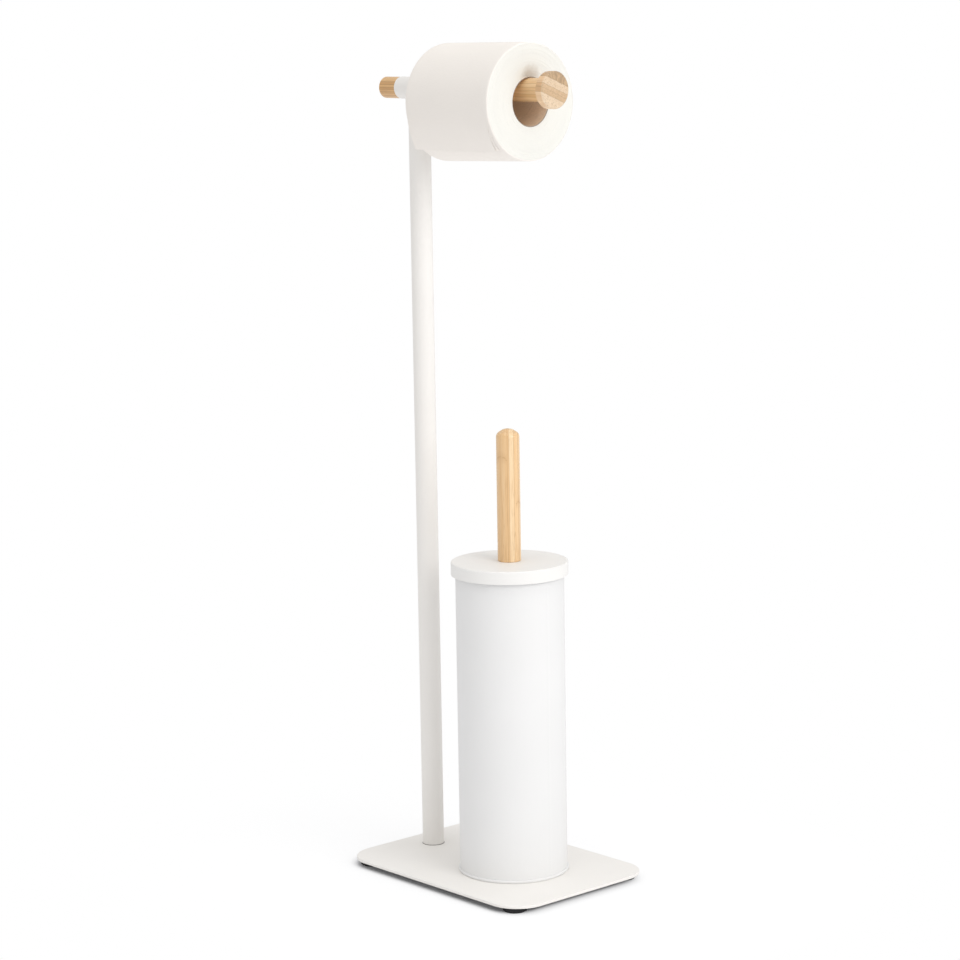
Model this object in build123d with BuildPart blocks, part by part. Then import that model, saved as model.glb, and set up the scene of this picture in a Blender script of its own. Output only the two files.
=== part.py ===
"""Free-standing toilet brush canister and paper roll bar on one base plate.

Millimetres, +Z up, floor at Z = 0. +X runs along the bar from its end cap to its knob.
The origin is on the floor, midway between the end cap and the front edge of the plate.
"""
import os
from math import atan, cos, degrees, hypot, radians, sin, tan

from build123d import *

os.makedirs("parts", exist_ok=True)

# Base plate and rubber feet
plate_length = 225.0
plate_width = 161.0
plate_thickness = 2.3
plate_corner_radius = 28.0
plate_edge_radius = 0.6
foot_height = 5.4
foot_diameter = 21.0
foot_taper = 0.5
foot_end_inset = 19.5
foot_side_inset = 16.3
foot_bevel = 0.7

# Post and cross sleeve, both from the same tube
tube_diameter = 19.0
tube_wall = 1.0
post_from_rear_edge = 28.3
sleeve_length = 44.0
bar_height = 679.3
weld_gap = 0.05

# Bamboo bar
bar_diameter = 19.5
bar_length = 139.9
bar_tenon_diameter = 12.0
bar_tenon_length = 5.5
knob_diameter = 31.0
knob_thickness = 8.8
knob_bevel = 1.2
cap_diameter = 18.5
cap_length = 21.7
cap_bevel = 1.5
cap_spigot_length = 14.0
bar_spigot_length = 18.0
stud_diameter = 6.0
stud_depth_in_cap = 26.0
stud_depth_in_bar = 40.0
stud_end_room = 1.0

# Paper roll and its cardboard core
roll_diameter = 98.4
roll_length = 102.2
roll_gap_to_sleeve = 16.6
roll_edge_bevel = 0.8
core_bore = 40.0
core_wall = 0.7
core_recess = 0.3
hang_clearance = 0.3

# Canister
canister_from_post = 106.6
canister_diameter = 93.3
canister_sheet = 0.6
rim_bead_radius = 1.3
rim_bead_sides = 12
hem_height = 2.6
hem_sheet = 1.2
hem_bevel = 0.7

# Drip liner
liner_wall = 1.2
liner_top_gap = 0.6
liner_draft = 1.4
liner_flange = 3.0
liner_floor_height = 7.3
liner_foot_ring_radius = 40.0
liner_foot_ring_height = 5.6
liner_floor_bevel = 3.0

# Lid and handle
lid_diameter = 100.7
lid_top = 279.9
lid_skirt = 11.2
lid_sheet = 0.7
lid_edge_radius = 1.2
lid_rest_gap = 0.3
handle_diameter = 20.0
handle_length = 114.1
handle_shoulder_drop = 4.2
handle_shoulder_radius = 5.3
handle_crown_radius = 4.2
handle_crown_drop = 0.65
handle_bottom_bevel = 0.6
handle_bore_depth = 24.0

# Rod, insert and brush head
rod_diameter = 8.0
rod_thread_diameter = 6.0
rod_thread_length = 18.7
rod_washer_diameter = 18.0
insert_diameter = 9.0
insert_length = 15.0
head_diameter = 22.0
head_length = 97.0
head_neck_diameter = 14.0
head_neck_length = 9.0
head_taper_length = 9.0
rod_socket_depth = 22.0
head_tip_above_floor = 41.0

# Bristle tufts
tuft_radius = 1.3
socket_radius = 1.45
socket_depth = 4.5
tuft_splay = 4.0
tufts_per_row = 10
tuft_rows = 8
tuft_row_pitch = 8.5
first_row_rise = 2.0
brush_radius = 37.0
brush_end_reach = 30.0
end_rings = [(32.0, 8), (64.0, 5), (90.0, 1)]

# Fasteners under the plate
washer_thickness = 1.0
screw_head_room = 1.2
screw_head_bevel = 0.6
post_screw_diameter = 8.0
post_screw_length = 20.6
post_head_diameter = 14.0
post_socket_flats = 5.0
post_washer_diameter = 18.0
post_plug_length = 20.0
canister_screw_diameter = 6.0
canister_screw_length = 9.6
canister_head_diameter = 12.0
canister_socket_flats = 4.0
canister_washer_diameter = 16.0
canister_nut_flats = 10.0
canister_nut_height = 5.0
socket_recess = 1.8
hole_clearance = 0.3
fit_clearance = 0.05

# Levels and places worked out from the sizes above
plate_bottom = foot_height
plate_top = plate_bottom + plate_thickness
tube_radius = tube_diameter / 2
tube_bore_radius = tube_radius - tube_wall
rear_reach = post_from_rear_edge - plate_length / 2 - sleeve_length / 2 - cap_length
plate_x = -(plate_length / 2 + rear_reach) / 2
post_x = plate_x - plate_length / 2 + post_from_rear_edge
canister_x = post_x + canister_from_post
sleeve_rear = post_x - sleeve_length / 2
sleeve_front = post_x + sleeve_length / 2
cap_end = sleeve_rear - cap_length
knob_rear = sleeve_front + bar_length
roll_rear = sleeve_front + roll_gap_to_sleeve
roll_front = roll_rear + roll_length
core_outer_radius = core_bore / 2 + core_wall
roll_height = bar_height + bar_diameter / 2 + hang_clearance - core_bore / 2
canister_radius = canister_diameter / 2
canister_inner_radius = canister_radius - canister_sheet
lid_under = lid_top - lid_sheet
liner_rim = lid_under - lid_rest_gap
rim_top = liner_rim - liner_wall
canister_floor = plate_top + canister_sheet
rod_shoulder = lid_under - washer_thickness
head_radius = head_diameter / 2
head_top = head_tip_above_floor + head_length
dome_centre = head_tip_above_floor + head_radius
washer_bottom = plate_bottom - washer_thickness

# Section planes: local x is the radius or the run along X, local y is height
canister_section = Plane(origin=(canister_x, 0, 0), x_dir=(1, 0, 0), z_dir=(0, -1, 0))
bar_section = Plane(origin=(0, 0, bar_height), x_dir=(1, 0, 0), z_dir=(0, -1, 0))
roll_section = Plane(origin=(0, 0, roll_height), x_dir=(1, 0, 0), z_dir=(0, -1, 0))
canister_axis = Axis((canister_x, 0, 0), (0, 0, 1))
bar_axis = Axis((0, 0, bar_height), (1, 0, 0))
roll_axis = Axis((0, 0, roll_height), (1, 0, 0))


def across(x):
    """Plane square to the bar, facing +X."""
    return Plane(origin=(x, 0, bar_height), x_dir=(0, 1, 0), z_dir=(1, 0, 0))


# Base plate, with clearance holes for the post and canister screws
with BuildPart() as base_plate:
    with BuildSketch(Plane.XY.offset(plate_bottom)):
        with Locations((plate_x, 0)):
            RectangleRounded(plate_length, plate_width, plate_corner_radius)
    extrude(amount=plate_thickness)
    fillet(base_plate.faces().sort_by(Axis.Z)[-1].edges(), plate_edge_radius)
    with Locations((post_x, 0, plate_top)):
        Hole(post_screw_diameter / 2 + hole_clearance)
    with Locations((canister_x, 0, plate_top)):
        Hole(canister_screw_diameter / 2 + hole_clearance)


def rubber_foot(x, y):
    """Black rubber disc, a little wider where it is stuck to the plate."""
    with BuildPart() as foot:
        with BuildSketch(Plane.XY):
            with Locations((x, y)):
                Circle(foot_diameter / 2 - foot_taper)
        extrude(amount=foot_height, taper=-degrees(atan(foot_taper / foot_height)))
        chamfer(foot.edges().sort_by(Axis.Z)[0], foot_bevel)
    return foot


foot_x = plate_length / 2 - foot_end_inset
foot_y = plate_width / 2 - foot_side_inset
foot_front_left = rubber_foot(plate_x + foot_x, -foot_y)
foot_front_right = rubber_foot(plate_x + foot_x, foot_y)
foot_rear_left = rubber_foot(plate_x - foot_x, -foot_y)
foot_rear_right = rubber_foot(plate_x - foot_x, foot_y)

# Post: a tube whose top is coped to saddle the cross sleeve
with BuildPart() as post_tube:
    with BuildSketch(Plane.XY.offset(plate_top)):
        with Locations((post_x, 0)):
            Circle(tube_radius)
            Circle(tube_bore_radius, mode=Mode.SUBTRACT)
    extrude(amount=bar_height - plate_top)
    with BuildSketch(across(sleeve_rear)):
        Circle(tube_radius + weld_gap)
    extrude(amount=sleeve_length, mode=Mode.SUBTRACT)

with BuildPart() as post_plug:
    with BuildSketch(Plane.XY.offset(plate_top)):
        with Locations((post_x, 0)):
            Circle(tube_bore_radius - fit_clearance)
            Circle(post_screw_diameter / 2 + fit_clearance, mode=Mode.SUBTRACT)
    extrude(amount=post_plug_length)

with BuildPart() as cross_sleeve:
    with BuildSketch(across(sleeve_rear)):
        Circle(tube_radius)
        Circle(tube_bore_radius, mode=Mode.SUBTRACT)
    extrude(amount=sleeve_length)


def flat_washer(x, bottom, outer_diameter, bore_diameter):
    """Plain washer about the vertical line at x."""
    with BuildPart() as washer:
        with BuildSketch(Plane.XY.offset(bottom)):
            with Locations((x, 0)):
                Circle(outer_diameter / 2)
                Circle(bore_diameter / 2 + hole_clearance, mode=Mode.SUBTRACT)
        extrude(amount=washer_thickness)
    return washer


def low_head_screw(x, diameter, head_diameter, length, socket_flats):
    """Low-head socket screw that points up through the plate from its washer."""
    with BuildPart() as screw:
        with BuildSketch(Plane.XY.offset(screw_head_room)):
            with Locations((x, 0)):
                Circle(head_diameter / 2)
        extrude(amount=washer_bottom - screw_head_room)
        chamfer(screw.edges().sort_by(Axis.Z)[0], screw_head_bevel)
        with BuildSketch(Plane.XY.offset(washer_bottom)):
            with Locations((x, 0)):
                Circle(diameter / 2)
        extrude(amount=length)
        with BuildSketch(Plane.XY.offset(screw_head_room)):
            with Locations((x, 0)):
                RegularPolygon(socket_flats / 2, 6, major_radius=False)
        extrude(amount=socket_recess, mode=Mode.SUBTRACT)
    return screw


post_washer = flat_washer(post_x, washer_bottom, post_washer_diameter, post_screw_diameter)
post_screw = low_head_screw(
    post_x, post_screw_diameter, post_head_diameter, post_screw_length, post_socket_flats
)
canister_washer = flat_washer(
    canister_x, washer_bottom, canister_washer_diameter, canister_screw_diameter
)
canister_screw = low_head_screw(
    canister_x, canister_screw_diameter, canister_head_diameter, canister_screw_length,
    canister_socket_flats,
)
rod_washer = flat_washer(canister_x, rod_shoulder, rod_washer_diameter, rod_thread_diameter)

with BuildPart() as canister_nut:
    with BuildSketch(Plane.XY.offset(canister_floor)):
        with Locations((canister_x, 0)):
            RegularPolygon(canister_nut_flats / 2, 6, major_radius=False)
            Circle(canister_screw_diameter / 2 + fit_clearance, mode=Mode.SUBTRACT)
    extrude(amount=canister_nut_height)

# Bamboo end cap: turned body and a spigot inside the sleeve
spigot_radius = tube_bore_radius - fit_clearance
stud_bore_radius = stud_diameter / 2 + fit_clearance
cap_bore_end = sleeve_rear + cap_spigot_length - stud_depth_in_cap
bar_bore_end = sleeve_front - bar_spigot_length + stud_depth_in_bar

with BuildPart() as bar_end_cap:
    with BuildSketch(across(cap_end)):
        Circle(cap_diameter / 2)
    extrude(amount=cap_length)
    chamfer(bar_end_cap.edges().sort_by(Axis.X)[0], cap_bevel)
    with BuildSketch(across(sleeve_rear)):
        Circle(spigot_radius)
    extrude(amount=cap_spigot_length)
    with BuildSketch(across(cap_bore_end)):
        Circle(stud_bore_radius)
    extrude(amount=stud_depth_in_cap, mode=Mode.SUBTRACT)

# Bamboo bar: spigot in the sleeve, plain bar, tenon in the knob
with BuildPart() as roll_bar:
    with BuildSketch(bar_section):
        with BuildLine():
            Polyline(
                (bar_bore_end, 0),
                (bar_bore_end, stud_bore_radius),
                (sleeve_front - bar_spigot_length, stud_bore_radius),
                (sleeve_front - bar_spigot_length, spigot_radius),
                (sleeve_front, spigot_radius),
                (sleeve_front, bar_diameter / 2),
                (knob_rear, bar_diameter / 2),
                (knob_rear, bar_tenon_diameter / 2),
                (knob_rear + bar_tenon_length, bar_tenon_diameter / 2),
                (knob_rear + bar_tenon_length, 0),
                close=True,
            )
        make_face()
    revolve(axis=bar_axis)

with BuildPart() as bar_stud:
    with BuildSketch(across(cap_bore_end + stud_end_room)):
        Circle(stud_diameter / 2)
    extrude(amount=bar_bore_end - cap_bore_end - 2 * stud_end_room)

with BuildPart() as bar_knob:
    with BuildSketch(across(knob_rear)):
        Circle(knob_diameter / 2)
    extrude(amount=knob_thickness)
    chamfer(bar_knob.edges().filter_by(GeomType.CIRCLE), knob_bevel)
    with BuildSketch(across(knob_rear)):
        Circle(bar_tenon_diameter / 2 + fit_clearance)
    extrude(amount=bar_tenon_length + fit_clearance, mode=Mode.SUBTRACT)

# Paper roll, hanging by the top of its core on the bar
with BuildPart() as paper_roll:
    with BuildSketch(roll_section) as roll_profile:
        with Locations(((roll_rear + roll_front) / 2, 0)):
            Rectangle(roll_length, roll_diameter / 2, align=(Align.CENTER, Align.MIN))
            Rectangle(
                roll_length, core_outer_radius + fit_clearance,
                align=(Align.CENTER, Align.MIN), mode=Mode.SUBTRACT,
            )
        chamfer(roll_profile.vertices().group_by(Axis.Y)[-1], roll_edge_bevel)
    revolve(axis=roll_axis)

with BuildPart() as roll_core:
    with BuildSketch(roll_section):
        with Locations(((roll_rear + roll_front) / 2, core_bore / 2)):
            Rectangle(
                roll_length - 2 * core_recess, core_wall, align=(Align.CENTER, Align.MIN)
            )
    revolve(axis=roll_axis)

# Canister: sheet tube whose rim is rolled outwards into a bead
bead_height = rim_top - rim_bead_radius
with BuildPart() as canister_shell:
    with BuildSketch(canister_section):
        with Locations((canister_inner_radius, canister_floor)):
            Rectangle(canister_sheet, bead_height - canister_floor, align=(Align.MIN, Align.MIN))
        with Locations((canister_inner_radius + rim_bead_radius, bead_height)):
            RegularPolygon(rim_bead_radius, rim_bead_sides)
    revolve(axis=canister_axis)

# Pressed bottom whose edge is turned up round the tube as a hem
hem_radius = canister_radius + fit_clearance + hem_sheet
with BuildPart() as canister_bottom:
    with BuildSketch(canister_section) as bottom_profile:
        with BuildLine():
            Polyline(
                (canister_screw_diameter / 2 + hole_clearance, plate_top),
                (hem_radius, plate_top),
                (hem_radius, plate_top + hem_height),
                (hem_radius - hem_sheet, plate_top + hem_height),
                (hem_radius - hem_sheet, canister_floor),
                (canister_screw_diameter / 2 + hole_clearance, canister_floor),
                close=True,
            )
        make_face()
        chamfer(bottom_profile.vertices().group_by(Axis.X)[-1], hem_bevel)
    revolve(axis=canister_axis)

# Drip liner: tapered cup that hangs by its flange, with a raised floor and a foot ring
liner_top_radius = canister_inner_radius - liner_top_gap
liner_bottom_radius = liner_top_radius - liner_draft
liner_floor = canister_floor + liner_floor_height - liner_wall
ring_bottom = liner_floor - liner_foot_ring_height
with BuildPart() as liner_cup:
    with BuildSketch(canister_section):
        with BuildLine():
            Polyline(
                (0, liner_floor),
                (liner_bottom_radius - liner_floor_bevel, liner_floor),
                (liner_bottom_radius, liner_floor + liner_floor_bevel),
                (liner_top_radius, liner_rim - liner_wall),
                (liner_top_radius + liner_flange, liner_rim - liner_wall),
                (liner_top_radius + liner_flange, liner_rim),
                (liner_top_radius - liner_wall, liner_rim),
                (liner_bottom_radius - liner_wall, liner_floor + liner_floor_bevel),
                (liner_bottom_radius - liner_floor_bevel, liner_floor + liner_wall),
                (0, liner_floor + liner_wall),
                close=True,
            )
        make_face()
        with Locations((liner_foot_ring_radius, ring_bottom)):
            Rectangle(liner_wall, liner_foot_ring_height, align=(Align.MAX, Align.MIN))
    revolve(axis=canister_axis)

# Lid: pressed steel disc with a skirt over the rolled rim
with BuildPart() as brush_lid:
    with BuildSketch(canister_section) as lid_profile:
        with BuildLine():
            Polyline(
                (rod_thread_diameter / 2 + hole_clearance, lid_top),
                (lid_diameter / 2, lid_top),
                (lid_diameter / 2, lid_top - lid_skirt),
                (lid_diameter / 2 - lid_sheet, lid_top - lid_skirt),
                (lid_diameter / 2 - lid_sheet, lid_under),
                (rod_thread_diameter / 2 + hole_clearance, lid_under),
                close=True,
            )
        make_face()
        outer_corner = lid_profile.vertices().sort_by_distance((lid_diameter / 2, lid_top))[0]
        inner_corner = lid_profile.vertices().sort_by_distance(
            (lid_diameter / 2 - lid_sheet, lid_under)
        )[0]
        fillet(outer_corner, lid_edge_radius)
        fillet(inner_corner, lid_edge_radius - lid_sheet)
    revolve(axis=canister_axis)

# Handle: bamboo dowel with a sloping shoulder, a low crown and a blind bore for the insert
handle_radius = handle_diameter / 2
handle_top = lid_top + handle_length
handle_bore_radius = insert_diameter / 2 + fit_clearance
with BuildPart() as brush_handle:
    with BuildSketch(canister_section) as handle_profile:
        with BuildLine():
            sides = Polyline(
                (0, lid_top + handle_bore_depth),
                (handle_bore_radius, lid_top + handle_bore_depth),
                (handle_bore_radius, lid_top),
                (handle_radius - handle_bottom_bevel, lid_top),
                (handle_radius, lid_top + handle_bottom_bevel),
                (handle_radius, handle_top - handle_shoulder_drop),
                (handle_crown_radius, handle_top - handle_crown_drop),
            )
            crown = TangentArc(
                (0, handle_top), sides @ 1, tangent=(1, 0)
            )
            Line(crown @ 0, sides @ 0)
        make_face()
        shoulder = handle_profile.vertices().sort_by_distance(
            (handle_radius, handle_top - handle_shoulder_drop)
        )[0]
        fillet(shoulder, handle_shoulder_radius)
    revolve(axis=canister_axis)

with BuildPart() as handle_insert:
    with BuildSketch(Plane.XY.offset(lid_top)):
        with Locations((canister_x, 0)):
            Circle(insert_diameter / 2)
            Circle(rod_thread_diameter / 2 + fit_clearance, mode=Mode.SUBTRACT)
    extrude(amount=insert_length)

# Rod: plain shank from the brush head to a shoulder under the lid, then the threaded end
with BuildPart() as brush_rod:
    with BuildSketch(Plane.XY.offset(head_top - rod_socket_depth)):
        with Locations((canister_x, 0)):
            Circle(rod_diameter / 2)
    extrude(amount=rod_shoulder - head_top + rod_socket_depth)
    with BuildSketch(Plane.XY.offset(rod_shoulder)):
        with Locations((canister_x, 0)):
            Circle(rod_thread_diameter / 2)
    extrude(amount=rod_thread_length)


def tuft_plane(height, azimuth, dip):
    """Plane on a socket's mouth, facing out along the tuft."""
    outward = Vector(
        cos(radians(dip)) * cos(radians(azimuth)),
        cos(radians(dip)) * sin(radians(azimuth)),
        -sin(radians(dip)),
    )
    return Plane(origin=Vector(canister_x, 0, height) + outward * head_radius, z_dir=outward)


def tuft_length(dip):
    """From the socket's mouth to the rounded outline of the brush."""
    reach = 1 / hypot(cos(radians(dip)) / brush_radius, sin(radians(dip)) / brush_end_reach)
    return reach - head_radius


def ring_of_planes(height, count, dip, turn):
    """Evenly spread planes about the axis, turned by a share of their pitch."""
    return [tuft_plane(height, (i + turn) * 360 / count, dip) for i in range(count)]


side_planes = []
for row in range(tuft_rows):
    row_height = dome_centre + first_row_rise + row * tuft_row_pitch
    side_planes += ring_of_planes(row_height, tufts_per_row, 0, (row % 2) / 2)
tuft_groups = [(side_planes, tuft_length(0))]
for dip, count in end_rings:
    tuft_groups.append((ring_of_planes(dome_centre, count, dip, 0.25), tuft_length(dip)))

# Brush head: domed core with a neck for the rod and one socket for each tuft
with BuildPart() as brush_head:
    with BuildSketch(canister_section):
        with BuildLine():
            dome = RadiusArc((0, head_tip_above_floor), (head_radius, dome_centre), -head_radius)
            Polyline(
                dome @ 1,
                (head_radius, head_top - head_neck_length - head_taper_length),
                (head_neck_diameter / 2, head_top - head_neck_length),
                (head_neck_diameter / 2, head_top),
                (rod_diameter / 2 + fit_clearance, head_top),
                (rod_diameter / 2 + fit_clearance, head_top - rod_socket_depth),
                (0, head_top - rod_socket_depth),
                dome @ 0,
            )
        make_face()
    revolve(axis=canister_axis)
    for planes, _ in tuft_groups:
        with BuildSketch(*planes):
            RegularPolygon(socket_radius, 6)
        extrude(amount=socket_depth, both=True, mode=Mode.SUBTRACT)


def splayed_tuft(length):
    """One tuft from its socket's mouth at the origin: a straight root and a splayed body."""
    tip_radius = tuft_radius + length * tan(radians(tuft_splay))
    with BuildPart() as tuft:
        for height, radius in [(-socket_depth, tuft_radius), (0, tuft_radius), (length, tip_radius)]:
            with BuildSketch(Plane.XY.offset(height)):
                RegularPolygon(radius, 6)
        loft(ruled=True)
    return tuft


tufts = [(planes, splayed_tuft(length).part) for planes, length in tuft_groups]
with BuildPart() as bristle_tufts:
    for planes, tuft in tufts:
        with Locations(*planes):
            add(tuft)

pieces = {
    "base_plate": base_plate,
    "foot_front_left": foot_front_left,
    "foot_front_right": foot_front_right,
    "foot_rear_left": foot_rear_left,
    "foot_rear_right": foot_rear_right,
    "post_tube": post_tube,
    "post_plug": post_plug,
    "post_screw": post_screw,
    "post_washer": post_washer,
    "cross_sleeve": cross_sleeve,
    "bar_end_cap": bar_end_cap,
    "bar_stud": bar_stud,
    "roll_bar": roll_bar,
    "bar_knob": bar_knob,
    "canister_shell": canister_shell,
    "canister_bottom": canister_bottom,
    "canister_screw": canister_screw,
    "canister_washer": canister_washer,
    "canister_nut": canister_nut,
    "liner_cup": liner_cup,
    "brush_lid": brush_lid,
    "brush_handle": brush_handle,
    "handle_insert": handle_insert,
    "brush_rod": brush_rod,
    "rod_washer": rod_washer,
    "brush_head": brush_head,
    "bristle_tufts": bristle_tufts,
    "paper_roll": paper_roll,
    "roll_core": roll_core,
}
for name, piece in pieces.items():
    piece.part.label = name
    export_step(piece.part, f"parts/{name}.step")
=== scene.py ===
import math
import random
from collections import namedtuple

import bpy
from mathutils import Matrix, Vector, noise


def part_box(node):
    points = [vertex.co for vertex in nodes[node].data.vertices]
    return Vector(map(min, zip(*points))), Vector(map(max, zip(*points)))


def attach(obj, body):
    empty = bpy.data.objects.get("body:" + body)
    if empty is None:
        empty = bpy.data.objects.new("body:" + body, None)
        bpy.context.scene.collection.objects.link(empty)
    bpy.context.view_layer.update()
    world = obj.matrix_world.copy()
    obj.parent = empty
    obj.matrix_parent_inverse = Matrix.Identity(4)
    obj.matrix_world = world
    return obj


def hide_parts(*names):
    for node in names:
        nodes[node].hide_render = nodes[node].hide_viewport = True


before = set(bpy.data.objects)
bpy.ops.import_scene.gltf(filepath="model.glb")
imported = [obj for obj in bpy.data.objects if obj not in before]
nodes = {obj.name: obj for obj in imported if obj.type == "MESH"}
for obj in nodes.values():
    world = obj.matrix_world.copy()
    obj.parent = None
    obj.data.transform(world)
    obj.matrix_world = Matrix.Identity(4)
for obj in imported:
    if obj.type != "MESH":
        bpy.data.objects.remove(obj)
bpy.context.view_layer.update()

MM = 0.001
up = Vector((0.0, 0.0, 1.0))
Box = namedtuple("Box", "low high middle half")


def node_box(node):
    """Box of a CAD node: its lowest and highest corners, its middle and its half sizes."""
    low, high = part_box(node)
    return Box(low, high, (low + high) / 2, (high - low) / 2)


plate_box = node_box("base_plate")
sleeve_box = node_box("cross_sleeve")
roll_box = node_box("paper_roll")
core_box = node_box("roll_core")
head_box = node_box("brush_head")
tufts_box = node_box("bristle_tufts")

# Camera as fitted to the photo
camera_place = Vector((1.7970, -1.6144, 0.7499))
camera_yaw = math.radians(138.047)
camera_pitch = math.radians(9.498)
camera_roll = math.radians(-0.916)
camera_focal_px = 2851.46
photo_px = 960
photo_centre = (485.5, 480.57)
sensor_mm = 36.0

# Paper roll, which sags and drops a little towards its rear
roll_rear = roll_box.low.x
roll_front = roll_box.high.x
roll_axis_height = core_box.middle.z
roll_radius = roll_box.high.z - roll_axis_height
roll_edge_round = 1.4 * MM
roll_segments = 176
roll_edge_steps = 4
roll_side_steps = 22
rear_sag = 1.9 * MM
rear_drop = 0.8 * MM
side_dent = 0.22 * MM
side_dent_pitch = 30.0 * MM
side_dent_turn_scale = 2.2
side_skin = 1.2 * MM

# Card core, with its spiral seam and its cut ends
core_outside_radius = core_box.half.z
core_seam_pitch = 62.0 * MM
core_cut_depth = 0.4 * MM

# Ends of the roll: the edges of the wound layers, the dent above the core, and painted shade above the core
front_layers = 44
rear_layers = 16
front_seed = 3
rear_seed = 8
layer_relief = 0.16 * MM
layer_ripple = 0.1 * MM
layer_ripple_turn_scale = 3.0
layer_ripple_shift = 0.6
dent_angle = math.radians(97)
dent_spread = 0.42
dent_reach = 6.0 * MM
dent_depth = 2.4 * MM
# Painted shade above the core: a ragged dark patch on the layer edges, where the layers by the dent lie in
# shade
painted_shade_spot = (roll_front, 0.5 * MM, roll_axis_height + 21.0 * MM)
painted_shade_fade = (2.0 * MM, 14.0 * MM)
painted_shade_ragged = 5.0 * MM
painted_shade_depth = 0.72

# Loose end of the paper, which leaves the roll a little askew and ends in a torn perforation
tail_step = 0.4 * MM
tail_edge_turn = 0.0006
tail_angle = math.radians(198)
tail_length = 28.0 * MM
tail_curl_radius = 80.0 * MM
tail_skew = 5.0 * MM
tail_root_depth = 0.25 * MM
tail_rows = 10
tail_columns = 72
tail_ripple = 0.7 * MM
tail_ripple_pitch = 25.0 * MM
tail_ripple_run_scale = 1.7
tail_ripple_seed = 9.0
tear_tooth = 0.25 * MM
tear_drift = 0.5 * MM
tear_drift_pitch = 20.0 * MM
tear_drift_seed = 4.0

# Plies of the loose end, as (plies over it, inset of its front edge, how far that edge is tucked in)
tail_plies = [(1, 1.0 * MM, 1.1), (0, 3.0 * MM, 0.3)]
ply_thickness = 0.2 * MM
ply_gap = 0.35 * MM
ply_tuck_width = 9.0 * MM

# Brush: the seats of its tufts, with rings over the end as (dip in degrees, tufts)
brush_x = tufts_box.middle.x
brush_radius = tufts_box.half.x
head_radius = head_box.half.x
dome_height = 52.0 * MM
brush_end_reach = dome_height - tufts_box.low.z
first_row_rise = 2.0 * MM
tuft_rows = 8
tufts_per_row = 10
tuft_row_pitch = 8.5 * MM
end_rings = [(32.0, 8), (64.0, 5), (90.0, 1)]
end_ring_turn = 0.25

# Filaments of a tuft, in rings as (share of the tuft's radius, filaments)
tuft_root_radius = 1.05 * MM
tuft_splay = math.radians(4.0)
filament_rings = [(0.0, 1), (0.48, 6), (0.92, 12)]
filament_radius = 0.2 * MM
filament_sides = 3
filament_root_depth = 3.0 * MM
filament_stations = [0.0, 0.35, 0.7, 1.0]
filament_bend = (0.1 * MM, 0.5 * MM)
filament_trim = (0.95, 0.995)
filament_seed = 21

# Post: the weld at the tee, and the dark line round its foot, partly its joint and partly painted contact
# shade
post_x = sleeve_box.middle.x
tube_radius = sleeve_box.half.y
bar_height = sleeve_box.middle.z
bead_sides = 8
weld_radius = 0.8 * MM
weld_segments = 96
weld_ripple_count = 9
weld_ripple_share = 0.06
saddle_rounding = 0.01
foot_joint_shade_radius = 0.34 * MM
foot_joint_shade_segments = 72

# Plate: its corners, and the height that parts its white edge from its black underside
plate_corner_radius = 28.0 * MM
plate_underside = plate_box.low.z + 0.05 * MM

# Bamboo: the sway of its strips, glue lines, and the bowed line and soft stain of a knuckle
strip_sway = 0.05
glue_half_width = 0.5 * MM
knuckle_bow = 3.2 * MM
knuckle_line = (0.3 * MM, 1.4 * MM)
knuckle_stain = (0.0, 6.0 * MM)
knuckle_stain_depth = 0.27

# Plastic: how far light goes in
plastic_scatter = 2.0 * MM

# Studio light, with each lamp as (name, place, size, power)
world_strength = 0.685
lamp_aim = Vector((0.0, 0.0, 0.35))
lamps = [
    ("overhead light", Vector((0.6, -0.4, 7.5)), 7.0, 162.0),
    ("side light", Vector((2.4, 0.0, 1.4)), 1.6, 23.0),
]

# Pale floor: a lift that makes it read as white, and how its shadow fades out from the plate's outline
floor_reach = 12.0
floor_lift = 0.04
floor_near_fade = (-4.5 * MM, 3.5 * MM)
floor_near_share = 0.68
floor_far_fade = 220.0 * MM
floor_shift = 6.5 * MM


def shader_node(tree, kind, inputs=None, **settings):
    """One shader node with its settings and its inputs, each a value or another node's output."""
    made = tree.nodes.new(kind)
    for key, value in settings.items():
        setattr(made, key, value)
    for key, value in (inputs or {}).items():
        if isinstance(value, bpy.types.NodeSocket):
            tree.links.new(value, made.inputs[key])
        else:
            made.inputs[key].default_value = value
    return made


def calc(tree, operation, *values):
    """Result of one sum on up to three values."""
    return shader_node(tree, "ShaderNodeMath", dict(enumerate(values)), operation=operation).outputs[0]


def vector_calc(tree, operation, *values):
    """Result of one sum on one or two vectors."""
    made = shader_node(tree, "ShaderNodeVectorMath", dict(enumerate(values)), operation=operation)
    gives_number = operation in ("DOT_PRODUCT", "DISTANCE", "LENGTH")
    return made.outputs["Value" if gives_number else "Vector"]


def along(tree, place, direction):
    """How far a point lies along a direction."""
    return vector_calc(tree, "DOT_PRODUCT", place, direction)


def stretch(tree, place, factors):
    """Points scaled by one factor for each axis."""
    return vector_calc(tree, "MULTIPLY", place, factors)


def weigh(tree, first, first_share, second, second_share):
    """Sum of two values, each with its share."""
    return calc(tree, "MULTIPLY_ADD", first, first_share, calc(tree, "MULTIPLY", second, second_share))


def grain(tree, place, scale, detail=3.0, roughness=0.55):
    """Soft noise from 0 to 1."""
    inputs = {"Vector": place, "Scale": scale, "Detail": detail, "Roughness": roughness}
    return shader_node(tree, "ShaderNodeTexNoise", inputs).outputs["Fac"]


def cells(tree, place, scale):
    """Distance to the nearest of a scatter of points."""
    inputs = {"Vector": place, "Scale": scale}
    return shader_node(tree, "ShaderNodeTexVoronoi", inputs).outputs["Distance"]


def fit_range(tree, value, source, target=(0.0, 1.0)):
    """A value carried from one range to another and held at its ends."""
    inputs = {
        "Value": value,
        "From Min": source[0],
        "From Max": source[1],
        "To Min": target[0],
        "To Max": target[1],
    }
    return shader_node(tree, "ShaderNodeMapRange", inputs).outputs["Result"]


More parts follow.
